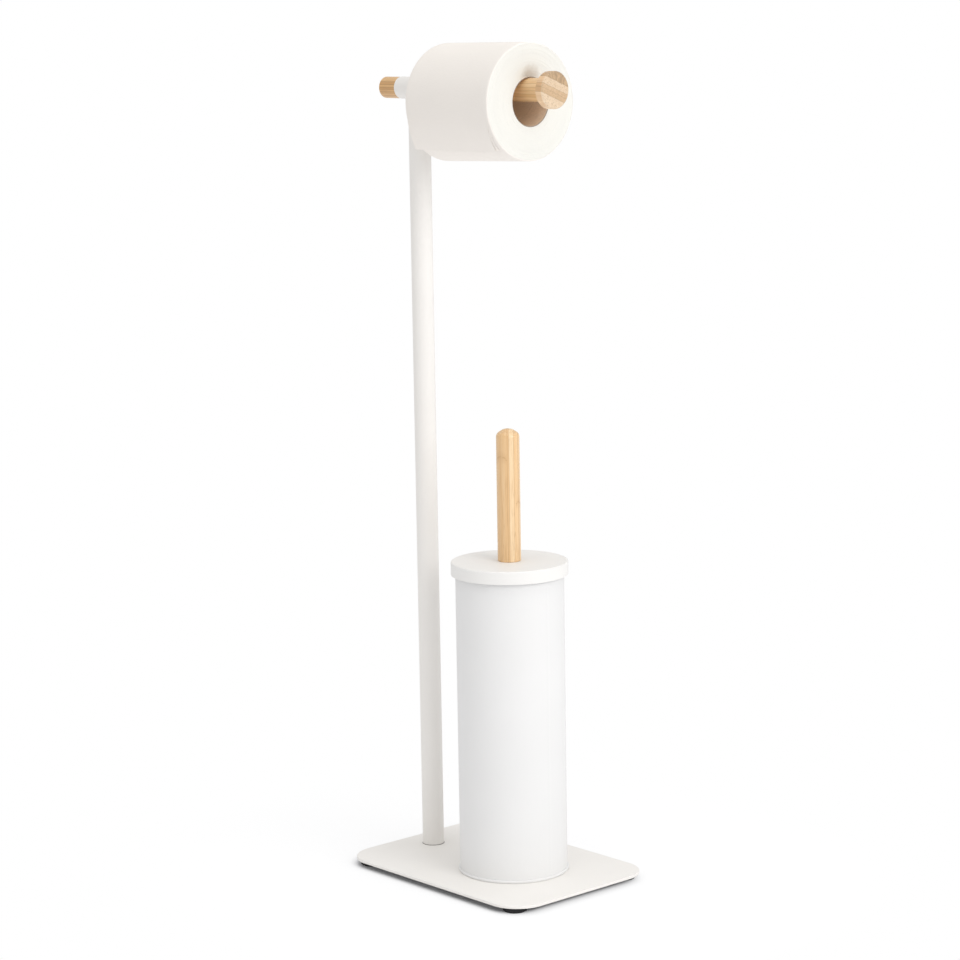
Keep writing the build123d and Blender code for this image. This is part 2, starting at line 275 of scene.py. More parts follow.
def rgba(red, green, blue, factor=1.0):
    """Colour with full alpha, scaled by a factor."""
    return (red * factor, green * factor, blue * factor, 1.0)


def blend_colour(tree, factor, first, second):
    """Two colours mixed by a factor."""
    inputs = {0: factor, 6: first, 7: second}
    return shader_node(tree, "ShaderNodeMix", inputs, data_type="RGBA").outputs[2]


def mark_colour(tree, base, mask, depth, colour):
    """A colour turned to another where a mask is 1, to a given depth."""
    return blend_colour(tree, calc(tree, "MULTIPLY", mask, depth), base, colour)


def colour_ramp(tree, factor, stops):
    """A colour read from rising stops."""
    made = shader_node(tree, "ShaderNodeValToRGB", {"Fac": factor})
    elements = made.color_ramp.elements
    elements[0].position, elements[0].color = stops[0]
    elements[1].position, elements[1].color = stops[-1]
    for position, colour in stops[1:-1]:
        elements.new(position).color = colour
    return made.outputs["Color"]


def shaded(tree, factor, colour, spread, shades):
    """A colour that goes from a darker to a lighter shade as a factor goes through a spread."""
    return colour_ramp(tree, factor, [(at, rgba(*colour, shade)) for at, shade in zip(spread, shades)])


def bump(tree, height, depth, strength):
    """Surface normal raised by a height from 0 to 1 over a depth in metres."""
    inputs = {"Height": height, "Distance": depth, "Strength": strength}
    return shader_node(tree, "ShaderNodeBump", inputs).outputs["Normal"]


def new_material(name):
    """Material with its node tree, its surface shader and the point on the object."""
    material = bpy.data.materials.new(name)
    material.use_nodes = True
    tree = material.node_tree
    surface = tree.nodes["Principled BSDF"]
    place = shader_node(tree, "ShaderNodeTexCoord").outputs["Object"]
    return material, tree, surface, place


def feed(tree, surface, **sockets):
    """Sets or links the surface's sockets, named with underscores for spaces."""
    for key, value in sockets.items():
        socket = surface.inputs[key.replace("_", " ")]
        if isinstance(value, bpy.types.NodeSocket):
            tree.links.new(value, socket)
        else:
            socket.default_value = value


def powder_coat(name, colour, underside=None):
    """White powder coat with a faint orange peel and fine grit, black below a given height."""
    material, tree, surface, place = new_material(name)
    drift = grain(tree, place, scale=14.0, detail=2.0)
    grit = grain(tree, place, scale=2600.0, detail=2.0)
    peel = grain(tree, place, scale=620.0, detail=2.0)
    tone = weigh(tree, grit, 0.35, drift, 0.65)
    coat = shaded(tree, tone, colour, spread=(0.25, 0.75), shades=(0.975, 1.015))
    if underside:
        below = calc(tree, "LESS_THAN", along(tree, place, up), underside)
        coat = blend_colour(tree, below, coat, rgba(0.02, 0.02, 0.022))
    relief = weigh(tree, grit, 0.3, peel, 0.7)
    feed(
        tree,
        surface,
        Base_Color=coat,
        Roughness=fit_range(tree, grit, (0.2, 0.8), (0.46, 0.58)),
        IOR=1.48,
        Normal=bump(tree, relief, depth=0.05 * MM, strength=0.6),
    )
    return material


def drawn_out(tree, place, axis, squeeze):
    """Points squeezed along an axis, so that a pattern on them is drawn out along it."""
    return stretch(tree, place, [squeeze if abs(part) > 0.5 else 1.0 for part in axis])


def across_strips(tree, place, fibred, strip_normal, box):
    """Place across the glued strips, from 0 to 1 over the piece's width, with a slight sway."""
    width = 2 * box.half.y
    start = box.middle.dot(Vector(strip_normal)) - width / 2
    offset = calc(tree, "SUBTRACT", along(tree, place, strip_normal), start)
    sway = calc(tree, "MULTIPLY", grain(tree, fibred, scale=160.0, detail=2.0), strip_sway)
    sway = calc(tree, "SUBTRACT", sway, strip_sway / 2)
    return calc(tree, "ADD", calc(tree, "DIVIDE", offset, width), sway)


def strip_shades(tree, across, strips):
    """Lightness of each glued strip, from its start across the piece to the next one's."""
    shade = colour_ramp(tree, across, [(start, rgba(tone, tone, tone)) for start, tone in strips])
    shade.node.color_ramp.interpolation = "CONSTANT"
    return shade


def glue_lines(tree, across, strips, half_width):
    """Thin lines where one strip meets the next."""
    black = rgba(0, 0, 0)
    white = rgba(1, 1, 1)
    stops = []
    for start, _ in strips[1:]:
        stops += [(start - half_width, black), (start, white), (start + half_width, black)]
    return colour_ramp(tree, across, stops)


def pore_marks(tree, wood, fibred, dashed, pores, dark):
    """Wood with fine dark pores, given as (scale, depth), and patches of longer dashes."""
    pore_scale, pore_depth = pores
    specks = fit_range(tree, cells(tree, fibred, pore_scale), (0.12, 0.36), (1.0, 0.0))
    patchy = fit_range(tree, grain(tree, fibred, scale=210.0, detail=2.0), (0.48, 0.66))
    dashes = fit_range(tree, cells(tree, dashed, scale=900.0), (0.1, 0.3), (1.0, 0.0))
    dashes = calc(tree, "MULTIPLY", dashes, patchy)
    wood = mark_colour(tree, wood, specks, pore_depth, rgba(*dark, 0.8))
    return mark_colour(tree, wood, dashes, 0.5, rgba(*dark, 0.7))


def knuckle_marks(tree, place, lie, across, knuckles):
    """Bowed, broken line and a soft stain at each bamboo knuckle, given as (place, from, to across)."""
    broken = fit_range(tree, grain(tree, place, scale=900.0, detail=2.0), (0.35, 0.65))
    marks = 0.0
    for spot, low, high in knuckles:
        half = (high - low) / 2
        aside = calc(tree, "ABSOLUTE", calc(tree, "SUBTRACT", across, low + half))
        bow = calc(tree, "POWER", calc(tree, "DIVIDE", aside, half), 2.0)
        off = calc(tree, "SUBTRACT", calc(tree, "MULTIPLY_ADD", bow, knuckle_bow, lie), spot)
        off = calc(tree, "ABSOLUTE", off)
        line = calc(tree, "MULTIPLY", fit_range(tree, off, knuckle_line, (1.0, 0.0)), broken)
        stain = fit_range(tree, off, knuckle_stain, (knuckle_stain_depth, 0.0))
        within = calc(tree, "LESS_THAN", aside, half)
        mark = calc(tree, "MULTIPLY", calc(tree, "MAXIMUM", line, stain), within)
        marks = calc(tree, "MAXIMUM", mark, marks)
    return marks


def side_grain(tree, axis):
    """1 where the surface runs along the fibres, falling to 0 where it cuts across them."""
    facing = shader_node(tree, "ShaderNodeTexCoord").outputs["Normal"]
    return fit_range(tree, calc(tree, "ABSOLUTE", along(tree, facing, axis)), (0.3, 0.7), (1.0, 0.0))


def streaked_end(tree, wood, place, shade, depth, dark):
    """Wood with short streaks in its darkest strips."""
    drawn = stretch(tree, place, (0.3, 1.0, 0.25))
    rays = fit_range(tree, grain(tree, drawn, scale=900.0, detail=2.0), (0.42, 0.62))
    in_dark = fit_range(tree, shade, (0.24, 0.4), (depth, 0.0))
    return mark_colour(tree, wood, rays, in_dark, rgba(*dark, 0.6))


def bamboo(
    name, node, axis, strip_normal, strips, tones,
    knuckles=(), pores=(1250.0, 0.35), seam=0.5, side_tint=None, end_streaks=0.0,
):
    """Laminated bamboo: glued strips, long fibres with dark pores, knuckles and satin lacquer."""
    material, tree, surface, place = new_material(name)
    box = node_box(node)
    dark, medium, light = tones
    fibred = drawn_out(tree, place, axis, squeeze=0.03)
    dashed = drawn_out(tree, place, axis, squeeze=0.1)
    across = across_strips(tree, place, fibred, strip_normal, box)
    shade = strip_shades(tree, across, strips)
    glue = glue_lines(tree, across, strips, glue_half_width / (2 * box.half.y))
    fibres = grain(tree, fibred, scale=1100.0, detail=4.0, roughness=0.62)
    streaks = grain(tree, fibred, scale=420.0, detail=3.0, roughness=0.5)
    tone = calc(tree, "MULTIPLY_ADD", fibres, 0.28, weigh(tree, shade, 0.5, streaks, 0.3))
    wood = colour_ramp(tree, tone, [(0.25, rgba(*dark)), (0.55, rgba(*medium)), (0.82, rgba(*light))])
    wood = pore_marks(tree, wood, fibred, dashed, pores, dark)
    wood = mark_colour(tree, wood, glue, seam, rgba(*dark, 0.7))
    if knuckles:
        marks = knuckle_marks(tree, place, along(tree, place, axis), across, knuckles)
        wood = blend_colour(tree, marks, wood, rgba(*dark, 0.86))
    if side_tint:
        wood = blend_colour(tree, side_grain(tree, axis), wood, stretch(tree, wood, side_tint))
    if end_streaks:
        wood = streaked_end(tree, wood, place, shade, end_streaks, dark)
    relief = calc(tree, "SUBTRACT", fibres, calc(tree, "MULTIPLY", glue, 0.5))
    feed(
        tree,
        surface,
        Base_Color=wood,
        Roughness=fit_range(tree, fibres, (0.25, 0.75), (0.38, 0.52)),
        Coat_Weight=0.45,
        Coat_Roughness=0.22,
        Normal=bump(tree, relief, depth=0.08 * MM, strength=0.5),
    )
    return material


def tissue(name, colour, painted_shade_at=None):
    """Soft tissue: an embossed dot pattern over a fibrous surface, with painted shade round a given spot.
    """
    material, tree, surface, place = new_material(name)
    dots = fit_range(tree, cells(tree, place, scale=420.0), (0.1, 0.6))
    fluff = grain(tree, place, scale=1500.0, detail=4.0, roughness=0.65)
    drift = grain(tree, place, scale=22.0, detail=3.0)
    tone = weigh(tree, fluff, 0.4, drift, 0.6)
    paper = shaded(tree, tone, colour, spread=(0.25, 0.75), shades=(0.972, 1.012))
    relief = weigh(tree, fluff, 0.4, dots, 0.6)
    # Painted shade: a ragged brownish patch, darkest at the spot and fading outwards
    if painted_shade_at:
        gap = vector_calc(tree, "DISTANCE", place, painted_shade_at)
        rough = grain(tree, place, scale=260.0, detail=2.0)
        ragged = calc(tree, "MULTIPLY_ADD", rough, painted_shade_ragged, gap)
        shadow = fit_range(tree, ragged, painted_shade_fade, (painted_shade_depth, 0.0))
        paper = blend_colour(tree, shadow, paper, rgba(0.40, 0.32, 0.24))
    feed(
        tree,
        surface,
        Base_Color=paper,
        Roughness=0.92,
        Specular_IOR_Level=0.2,
        Sheen_Weight=0.04,
        Normal=bump(tree, relief, depth=0.12 * MM, strength=0.55),
    )
    return material


def wound_card(name, colour):
    """Spiral-wound board with one butted seam round the tube, fibres, flecks and darker cut ends."""
    material, tree, surface, place = new_material(name)
    apart = shader_node(tree, "ShaderNodeSeparateXYZ", {"Vector": place}).outputs
    rise = calc(tree, "SUBTRACT", apart["Z"], roll_axis_height)
    turn = calc(tree, "DIVIDE", calc(tree, "ARCTAN2", apart["Y"], rise), 2 * math.pi)
    wind = calc(tree, "MULTIPLY_ADD", apart["X"], 1 / core_seam_pitch, turn)
    seam = fit_range(tree, calc(tree, "PINGPONG", wind, 0.5), (0.0, 0.012), (1.0, 0.0))
    fibrous = stretch(tree, place, (0.35, 1.0, 1.0))
    fibres = grain(tree, fibrous, scale=1300.0, detail=5.0, roughness=0.7)
    flecks = fit_range(tree, cells(tree, place, scale=700.0), (0.05, 0.16), (1.0, 0.0))
    board = shaded(tree, fibres, colour, spread=(0.3, 0.7), shades=(0.86, 1.05))
    board = mark_colour(tree, board, flecks, 0.25, rgba(*colour, 0.55))
    board = mark_colour(tree, board, seam, 0.22, rgba(*colour, 0.45))
    middle = (roll_front + roll_rear) / 2
    from_middle = calc(tree, "ABSOLUTE", calc(tree, "SUBTRACT", apart["X"], middle))
    cut_end = calc(tree, "GREATER_THAN", from_middle, roll_front - middle - core_cut_depth)
    board = blend_colour(tree, cut_end, board, rgba(0.34, 0.28, 0.23))
    feed(
        tree,
        surface,
        Base_Color=board,
        Roughness=0.88,
        Specular_IOR_Level=0.25,
        Normal=bump(tree, fibres, depth=0.08 * MM, strength=0.6),
    )
    return material


def rubber(name, colour):
    """Matt dark rubber with a faint bloom."""
    material, tree, surface, place = new_material(name)
    bloom = grain(tree, place, scale=260.0, detail=4.0)
    pits = grain(tree, place, scale=2200.0, detail=3.0)
    feed(
        tree,
        surface,
        Base_Color=shaded(tree, bloom, colour, spread=(0.3, 0.75), shades=(1.0, 1.7)),
        Roughness=fit_range(tree, bloom, (0.3, 0.7), (0.66, 0.82)),
        Normal=bump(tree, pits, depth=0.05 * MM, strength=0.5),
    )
    return material


def bright_metal(name, colour, roughness):
    """Turned or plated metal with fine scratches and faint dull patches."""
    material, tree, surface, place = new_material(name)
    drawn = stretch(tree, place, (1.0, 1.0, 0.06))
    scratches = grain(tree, drawn, scale=2400.0, detail=4.0, roughness=0.6)
    patches = grain(tree, stretch(tree, place, (1.0, 1.0, 0.3)), scale=90.0, detail=2.0)
    feed(
        tree,
        surface,
        Base_Color=shaded(tree, patches, colour, spread=(0.3, 0.7), shades=(0.95, 1.03)),
        Metallic=1.0,
        Roughness=fit_range(tree, scratches, (0.25, 0.75), (roughness - 0.08, roughness + 0.1)),
        Normal=bump(tree, scratches, depth=0.02 * MM, strength=0.5),
    )
    return material


def moulded_plastic(name, colour, roughness):
    """Moulded plastic with a fine spark-eroded texture and faint flow marks."""
    material, tree, surface, place = new_material(name)
    flow = grain(tree, stretch(tree, place, (1.0, 1.0, 0.25)), scale=60.0, detail=3.0)
    texture = grain(tree, place, scale=1900.0, detail=2.0)
    feed(
        tree,
        surface,
        Base_Color=shaded(tree, flow, colour, spread=(0.3, 0.7), shades=(0.965, 1.01)),
        Roughness=fit_range(tree, texture, (0.25, 0.75), (roughness - 0.06, roughness + 0.06)),
        Subsurface_Weight=0.12,
        Subsurface_Radius=[plastic_scatter] * 3,
        Subsurface_Scale=1.0,
        Normal=bump(tree, texture, depth=0.03 * MM, strength=0.5),
    )
    return material


def paint(material, *names):
    """Gives CAD pieces a material."""
    for name in names:
        skin = nodes[name].data.materials
        skin.clear()
        skin.append(material)


warm_white = (0.87, 0.845, 0.81)
white_frame = powder_coat("powder coat, frame", warm_white)
white_plate = powder_coat("powder coat, plate", warm_white, plate_underside)
# Canister: the same white powder coat, partly its own neutral tone, partly painted darker as shade to tone
# down its brighter lit side
white_canister_painted_shade = powder_coat("powder coat, canister, painted darker", (0.815, 0.811, 0.805))
white_lid = powder_coat("powder coat, lid", (0.860, 0.847, 0.824))
black_rubber = rubber("foot rubber", (0.012, 0.012, 0.013))
# Dark line at the post's foot: partly the joint, partly painted contact shade
joint_shade_line = rubber("joint line and painted contact shade of the post", (0.08, 0.072, 0.07))
zinc = bright_metal("zinc-plated steel", (0.62, 0.62, 0.63), roughness=0.3)
brass = bright_metal("turned brass", (0.78, 0.58, 0.27), roughness=0.26)
liner_white = moulded_plastic("liner plastic", (0.80, 0.81, 0.82), roughness=0.45)
head_white = moulded_plastic("brush head plastic", (0.88, 0.88, 0.87), roughness=0.4)
bristle_white = moulded_plastic("bristle filament", (0.88, 0.88, 0.88), roughness=0.35)
# Side of the roll: the same tissue as its ends, painted lighter and warmer as painted light, for the light
# that comes through the paper
side_paper_painted_light = tissue("tissue paper, side, painted lighter", (0.902, 0.855, 0.802))
edge_paper = tissue("tissue paper, layer edges", (0.825, 0.817, 0.77), painted_shade_spot)
card = wound_card("core board", (0.95, 0.775, 0.605))

# Bamboo tones from dark to light, strips as (start across, lightness), knuckles as (place, from, to across)
honey_tones = ((0.62, 0.35, 0.14), (0.80, 0.52, 0.26), (0.91, 0.69, 0.43))
amber_tones = ((0.48, 0.245, 0.083), (0.70, 0.41, 0.165), (0.83, 0.55, 0.26))
peach_tones = ((0.48, 0.32, 0.175), (0.62, 0.425, 0.25), (0.80, 0.64, 0.465))
# The handle's light strip, from 0.53 to 0.74 across, is partly a real strip and partly painted highlight
# where the gloss band falls
handle_strips_painted_highlight = [(0.0, 0.52), (0.46, 0.42), (0.53, 0.86), (0.74, 0.6), (0.92, 0.68)]
cap_strips = [(i / 10, 0.62 if i % 2 else 0.32) for i in range(10)]
bar_strips = [
    (0.0, 0.46), (0.14, 0.58), (0.3, 0.42), (0.44, 0.56), (0.58, 0.45), (0.72, 0.62), (0.86, 0.48),
]
knob_strips = [(0.0, 0.88), (0.294, 0.42), (0.42, 0.5), (0.532, 0.81), (0.731, 0.22)]
handle_knuckles = [(371 * MM, 0.0, 0.44), (332 * MM, 0.8, 1.0)]
bar_knuckles = [(20 * MM, 0.22, 0.6), (-25 * MM, 0.6, 1.0)]
bar_axis = (1.0, 0.0, 0.0)
handle_axis = (0.0, 0.0, 1.0)
handle_bamboo = bamboo(
    "bamboo, handle", "brush_handle", handle_axis, (0.67, 0.74, 0.0),
    handle_strips_painted_highlight, honey_tones, handle_knuckles,
)
cap_bamboo = bamboo(
    "bamboo, end cap", "bar_end_cap", bar_axis, (0.0, -0.35, 0.94),
    cap_strips, amber_tones,
)
bar_bamboo = bamboo(
    "bamboo, bar", "roll_bar", bar_axis, (0.0, -0.2, 0.98),
    bar_strips, honey_tones, bar_knuckles,
)
knob_bamboo = bamboo(
    "bamboo, knob", "bar_knob", bar_axis, (0.0, 0.375, 0.927),
    knob_strips, peach_tones,
    pores=(800.0, 0.75), seam=0.4, side_tint=(1.1, 0.98, 0.84), end_streaks=0.6,
)

paint(white_plate, "base_plate")
paint(white_frame, "post_tube", "cross_sleeve")
paint(white_lid, "brush_lid")
paint(white_canister_painted_shade, "canister_shell", "canister_bottom")
paint(black_rubber, "foot_front_left", "foot_front_right", "foot_rear_left", "foot_rear_right")
paint(zinc, "post_plug", "post_screw", "post_washer", "bar_stud", "brush_rod", "rod_washer")
paint(zinc, "canister_screw", "canister_washer", "canister_nut")
paint(brass, "handle_insert")
paint(liner_white, "liner_cup")
paint(head_white, "brush_head")
paint(card, "roll_core")
paint(handle_bamboo, "brush_handle")
paint(cap_bamboo, "bar_end_cap")
paint(bar_bamboo, "roll_bar")
paint(knob_bamboo, "bar_knob")


def mesh_object(name, points, faces, material, crease):
    """Mesh piece with smooth shading and edges sharper than the crease angle kept crisp."""
    mesh = bpy.data.meshes.new(name)
    mesh.from_pydata(points, [], faces)
    mesh.validate()
    mesh.polygons.foreach_set("use_smooth", [True] * len(mesh.polygons))
    mesh.set_sharp_from_angle(angle=math.radians(crease))
    mesh.materials.append(material)
    piece = bpy.data.objects.new(name, mesh)
    bpy.context.scene.collection.objects.link(piece)
    return piece


def even_turns(count):
    """Angles that part a full turn evenly."""
    return [2 * math.pi * i / count for i in range(count)]


def lofted(rings, closed_ends=False, closed_loop=False):
    """Points and faces of a skin over rings with equal numbers of points."""
    size = len(rings[0])
    points = [point for ring in rings for point in ring]
    faces = []
    spans = len(rings) if closed_loop else len(rings) - 1
    for i in range(spans):
        here = i * size
        there = ((i + 1) % len(rings)) * size
        for j in range(size):
            k = (j + 1) % size
            faces.append((here + j, here + k, there + k, there + j))
    if closed_ends:
        faces.append(tuple(reversed(range(size))))
        faces.append(tuple(range(len(points) - size, len(points))))
    return points, faces


def add_skin(points, faces, skin):
    """Adds a skin to the points and faces of a piece."""
    first = len(points)
    skin_points, skin_faces = skin
    points += skin_points
    faces += [tuple(first + corner for corner in face) for face in skin_faces]


def roll_angles():
    """Angles round the roll from the paper's loose edge, with a close pair at the edge."""
    turns = [i / roll_segments for i in range(roll_segments)]
    turns.insert(1, tail_edge_turn)
    return [tail_angle + 2 * math.pi * turn for turn in turns]


def face_rings(face_x, inward, layers, seed):
    """Rings over one end of the roll: the edges of the wound layers stand in and out a little."""
    chance = random.Random(seed)
    rings = []
    inner = core_outside_radius
    outer = roll_radius - roll_edge_round - tail_step
    for i in range(layers + 1):
        radius = inner + (outer - inner) * i / layers
        depth = layer_relief * (i % 2 + chance.random())
        ring = []
        for angle in roll_angles():
            across = layer_ripple_turn_scale * math.cos(angle)
            rise = layer_ripple_turn_scale * math.sin(angle)
            ripple = noise.noise(Vector((across, rise, layer_ripple_shift * i + seed)))
            from_dent = math.remainder(angle - dent_angle, 2 * math.pi)
            pulled = math.exp(-((radius - inner) / dent_reach) ** 2 - (from_dent / dent_spread) ** 2)
            sunk = max(0.0, depth + layer_ripple * ripple) + dent_depth * pulled
            ring.append((radius, angle, face_x + inward * sunk))
        rings.append(ring)
    return rings


def side_stations():
    """Places along the roll from front to rear, each with how far its rounded edge lies in there."""
    rounded = []
    for i in range(roll_edge_steps):
        lean = math.pi / 2 * i / roll_edge_steps
        rounded.append((roll_edge_round * (1 - math.cos(lean)), roll_edge_round * (1 - math.sin(lean))))
    front = roll_front - roll_edge_round
    rear = roll_rear + roll_edge_round
    stations = [(roll_front - step, inset) for step, inset in rounded]
    for i in range(roll_side_steps + 1):
        stations.append((front + (rear - front) * i / roll_side_steps, 0.0))
    stations += [(roll_rear + step, inset) for step, inset in reversed(rounded)]
    return stations


def side_rings():
    """Rings over the outside of the roll, which loses one layer's step over a turn."""
    rings = []
    for x, inset in side_stations():
        behind = (roll_front - x) / (roll_front - roll_rear)
        ring = []
        for angle in roll_angles():
            across = math.cos(angle)
            rise = math.sin(angle)
            turn = ((angle - tail_angle) / (2 * math.pi)) % 1.0
            wound = tail_step * (1 - turn) if turn > tail_edge_turn / 2 else 0.0
            around = (side_dent_turn_scale * across, side_dent_turn_scale * rise)
            dent = side_dent * (0.5 + 0.5 * noise.noise(Vector((x / side_dent_pitch, *around))))
            slack = behind * (rear_sag * max(0.0, -rise) ** 2 - rear_drop * rise)
            ring.append((roll_radius + slack - inset - dent - wound, angle, x))
        rings.append(ring)
    return rings


def paper_tail(plies_over, inset, tuck):
    """One ply of the paper's loose end."""
    out = Vector((0.0, math.cos(tail_angle), math.sin(tail_angle)))
    down = Vector((0.0, -math.sin(tail_angle), math.cos(tail_angle)))
    hub = Vector((0.0, 0.0, roll_axis_height))
    front = roll_front - inset
    rings = []
    for i in range(tail_columns + 1):
        x = front + (roll_rear - front) * i / tail_columns
        drift = noise.noise(Vector((x / tear_drift_pitch, tear_drift_seed, 0.0)))
        length = tail_length + tear_tooth * (-1) ** i + tear_drift * drift
        tucked = tuck * max(0.0, 1 - (front - x) / ply_tuck_width) ** 2
        upper = []
        lower = []
        for j in range(tail_rows):
            share = j / (tail_rows - 1)
            run = length * share
            waves = Vector((x / tail_ripple_pitch, tail_ripple_run_scale * share, tail_ripple_seed))
            level = roll_radius - tail_root_depth - run ** 2 / (2 * tail_curl_radius)
            level += tail_ripple * share * noise.noise(waves)
            level -= plies_over * (ply_thickness + ply_gap * share)
            level -= tucked * max(0.0, math.hypot(level, run) - roll_radius)
            spot = hub + Vector((x - tail_skew * share, 0.0, 0.0)) + down * run
            upper.append(spot + out * level)
            lower.append(spot + out * (level - ply_thickness))
        rings.append(lower + upper[::-1])
    return lofted(rings, closed_ends=True)


def paper_roll():
    """Wound tissue roll in place of the plain ring."""
    rings = face_rings(roll_rear, 1, rear_layers, rear_seed)
    rings += side_rings()[::-1]
    rings += face_rings(roll_front, -1, front_layers, front_seed)[::-1]
    placed = []
    for ring in rings:
        placed.append([(x, r * math.cos(a), roll_axis_height + r * math.sin(a)) for r, a, x in ring])
    points, faces = lofted(placed, closed_loop=True)
    for ply in tail_plies:
        add_skin(points, faces, paper_tail(*ply))
    piece = mesh_object("tissue_roll", points, faces, edge_paper, crease=50.0)
    piece.data.materials.append(side_paper_painted_light)
    for face in piece.data.polygons:
        if math.hypot(face.center.y, face.center.z - roll_axis_height) > roll_radius - side_skin:
            face.material_index = 1
    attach(piece, "roll")
    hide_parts("paper_roll")


def tuft_seats():
    """Mouth, direction and length of every tuft on the brush head."""
    rings = []
    for row in range(tuft_rows):
        height = dome_height + first_row_rise + row * tuft_row_pitch
        rings.append((height, tufts_per_row, 0.0, (row % 2) / 2))
    for dip, count in end_rings:
        rings.append((dome_height, count, math.radians(dip), end_ring_turn))
    seats = []
    for height, count, dip, turn in rings:
        reach = 1 / math.hypot(math.cos(dip) / brush_radius, math.sin(dip) / brush_end_reach)
        for i in range(count):
            azimuth = (i + turn) * 2 * math.pi / count
            flat = math.cos(dip)
            outward = Vector((flat * math.cos(azimuth), flat * math.sin(azimuth), -math.sin(dip)))
            mouth = Vector((brush_x, 0.0, height)) + outward * head_radius
            seats.append((mouth, outward, reach - head_radius))
    return seats


def filament(mouth, outward, length, spot, chance):
    """One bristle from its socket to its tip: a thin rod with a slight bend."""
    side = outward.orthogonal().normalized()
    other = outward.cross(side)
    tip_radius = tuft_root_radius + length * math.tan(tuft_splay)
    bend_angle = chance.uniform(0, 2 * math.pi)
    bend = chance.uniform(*filament_bend)
    rings = []
    for station in filament_stations:
        spread = tuft_root_radius + (tip_radius - tuft_root_radius) * station
        bow = bend * math.sin(math.pi * station)
        level = -filament_root_depth + (length + filament_root_depth) * station
        centre = mouth + outward * level
        centre += side * (spot[0] * spread + bow * math.cos(bend_angle))
        centre += other * (spot[1] * spread + bow * math.sin(bend_angle))
        ring = []
        for turn in even_turns(filament_sides):
            ring.append(centre + filament_radius * (side * math.cos(turn) + other * math.sin(turn)))
        rings.append(ring)
    return lofted(rings, closed_ends=True)


def bristles():
    """Bundles of filament in place of the stiff tufts."""
    chance = random.Random(filament_seed)
    spots = []
    for share, count in filament_rings:
        spots += [(share * math.cos(turn), share * math.sin(turn)) for turn in even_turns(count)]
    points = []
    faces = []
    for mouth, outward, length in tuft_seats():
        for spot in spots:
            trimmed = length * chance.uniform(*filament_trim)
            add_skin(points, faces, filament(mouth, outward, trimmed, spot, chance))
    piece = mesh_object("bristle_filaments", points, faces, bristle_white, crease=80.0)
    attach(piece, "brush")
    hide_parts("bristle_tufts")


def post_bead(stations):
    """Skin of a fine round bead about the post, from (angle, height, radius) on its way round."""
    rings = []
    for angle, height, radius in stations:
        outward = Vector((math.cos(angle), math.sin(angle), 0.0))
        centre = Vector((post_x, 0.0, height)) + tube_radius * outward
        ring = []
        for turn in even_turns(bead_sides):
            ring.append(centre + radius * (outward * math.sin(turn) + up * math.cos(turn)))
        rings.append(ring)
    return lofted(rings, closed_loop=True)


def weld_bead():
    """Dressed, slightly rippled weld round the saddle where the post meets the sleeve."""
    stations = []
    for angle in even_turns(weld_segments):
        height = bar_height - tube_radius * math.sqrt(math.cos(angle) ** 2 + saddle_rounding)
        radius = weld_radius * (1 + weld_ripple_share * math.sin(weld_ripple_count * angle))
        stations.append((angle, height, radius))
    points, faces = post_bead(stations)
    piece = mesh_object("tee_weld", points, faces, white_frame, crease=60.0)
    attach(piece, "stand")


def foot_joint_shade():
    """Fine dark line round the foot of the post, where it stands on the plate: partly the joint, partly
    painted contact shade.
    """
    top = plate_box.high.z
    points, faces = post_bead([(angle, top, foot_joint_shade_radius) for angle in even_turns(foot_joint_shade_segments)])
    piece = mesh_object("post_foot_joint_shade", points, faces, joint_shade_line, crease=60.0)
    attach(piece, "stand")


def white_surround():
    """World that lights the object softly and is white where the camera sees it."""
    world = bpy.data.worlds.new("studio")
    bpy.context.scene.world = world
    world.use_nodes = True
    tree = world.node_tree
    lit = tree.nodes["Background"]
    lit.inputs["Color"].default_value = rgba(1, 1, 1)
    lit.inputs["Strength"].default_value = world_strength
    seen = shader_node(tree, "ShaderNodeBackground", {"Color": rgba(1, 1, 1), "Strength": 1.0})
    ray = shader_node(tree, "ShaderNodeLightPath").outputs["Is Camera Ray"]
    both = shader_node(tree, "ShaderNodeMixShader", {0: ray, 1: lit.outputs[0], 2: seen.outputs[0]})
    tree.links.new(both.outputs[0], tree.nodes["World Output"].inputs["Surface"])


def beyond_plate(tree, place):
    """How far a point of the floor lies outside the plate's rounded outline, below 0 under the plate."""
    middle = (plate_box.middle.x - floor_shift, plate_box.middle.y, 0.0)
    straight = (plate_box.half.x - plate_corner_radius, plate_box.half.y - plate_corner_radius, 0.0)
    aside = vector_calc(tree, "SUBTRACT", place, middle)
    aside = vector_calc(tree, "SUBTRACT", vector_calc(tree, "ABSOLUTE", aside), straight)
    aside = vector_calc(tree, "MAXIMUM", aside, (0.0, 0.0, 0.0))
    return calc(tree, "SUBTRACT", vector_calc(tree, "LENGTH", aside), plate_corner_radius)


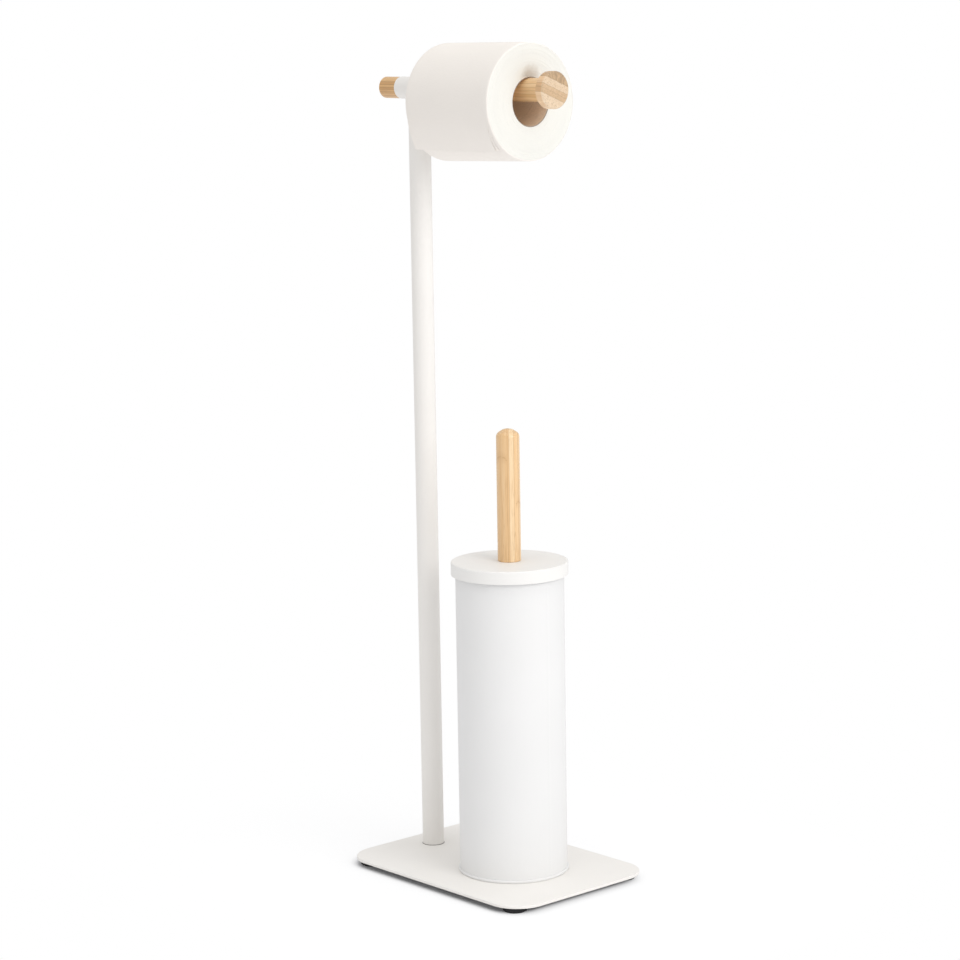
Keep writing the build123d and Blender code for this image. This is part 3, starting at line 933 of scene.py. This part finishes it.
def floor_material():
    """Matt white that keeps the object's shadow near the plate and goes over to plain white beyond."""
    material = bpy.data.materials.new("pale floor")
    material.use_nodes = True
    tree = material.node_tree
    tree.nodes.remove(tree.nodes["Principled BSDF"])
    ray = shader_node(tree, "ShaderNodeLightPath").outputs["Is Camera Ray"]
    matt = shader_node(tree, "ShaderNodeBsdfDiffuse", {"Color": rgba(0.95, 0.95, 0.96)})
    lift = calc(tree, "MULTIPLY", ray, floor_lift)
    glow = shader_node(tree, "ShaderNodeEmission", {"Color": rgba(1, 1, 1), "Strength": lift})
    near = shader_node(tree, "ShaderNodeAddShader", {0: matt.outputs[0], 1: glow.outputs[0]})
    far = shader_node(tree, "ShaderNodeEmission", {"Color": rgba(1, 1, 1), "Strength": 1.0})
    gap = beyond_plate(tree, shader_node(tree, "ShaderNodeTexCoord").outputs["Object"])
    close = fit_range(tree, gap, floor_near_fade, (0.0, floor_near_share))
    remote = fit_range(tree, gap, (floor_near_fade[1], floor_far_fade), (0.0, 1.0 - floor_near_share))
    away = calc(tree, "MULTIPLY", calc(tree, "ADD", close, remote), ray)
    whole = shader_node(tree, "ShaderNodeMixShader", {0: away, 1: near.outputs[0], 2: far.outputs[0]})
    tree.links.new(whole.outputs[0], tree.nodes["Material Output"].inputs["Surface"])
    return material


def pale_floor():
    """Wide flat floor under the object."""
    mesh = bpy.data.meshes.new("floor")
    corners = [(-1, -1), (1, -1), (1, 1), (-1, 1)]
    mesh.from_pydata([(x * floor_reach, y * floor_reach, 0.0) for x, y in corners], [], [(0, 1, 2, 3)])
    mesh.materials.append(floor_material())
    floor = bpy.data.objects.new("floor", mesh)
    bpy.context.scene.collection.objects.link(floor)


def soft_lamps():
    """Large round lamps, one above the object and one out past the bar's knob."""
    for name, place, size, power in lamps:
        lamp = bpy.data.lights.new(name, "AREA")
        lamp.shape = "DISK"
        lamp.size = size
        lamp.energy = power
        holder = bpy.data.objects.new(name, lamp)
        holder.location = place
        holder.rotation_euler = (lamp_aim - place).to_track_quat("-Z", "Y").to_euler()
        bpy.context.scene.collection.objects.link(holder)


def photo_camera():
    """Camera at the place and angle of the photo."""
    flat = math.cos(camera_pitch)
    ahead = Vector((flat * math.cos(camera_yaw), flat * math.sin(camera_yaw), -math.sin(camera_pitch)))
    level = Vector((math.sin(camera_yaw), -math.cos(camera_yaw), 0.0))
    upright = level.cross(ahead)
    right = level * math.cos(camera_roll) + upright * math.sin(camera_roll)
    above = upright * math.cos(camera_roll) - level * math.sin(camera_roll)
    lens = bpy.data.cameras.new("photo camera")
    lens.sensor_width = sensor_mm
    lens.lens = camera_focal_px / photo_px * sensor_mm
    lens.shift_x = (photo_px / 2 - photo_centre[0]) / photo_px
    lens.shift_y = (photo_centre[1] - photo_px / 2) / photo_px
    camera = bpy.data.objects.new("photo camera", lens)
    axes = Matrix((right, above, -ahead)).transposed().to_4x4()
    camera.matrix_world = Matrix.Translation(camera_place) @ axes
    bpy.context.scene.collection.objects.link(camera)
    bpy.context.scene.camera = camera


paper_roll()
bristles()
weld_bead()
foot_joint_shade()
white_surround()
pale_floor()
soft_lamps()
photo_camera()
bpy.context.scene.view_settings.view_transform = "Standard"
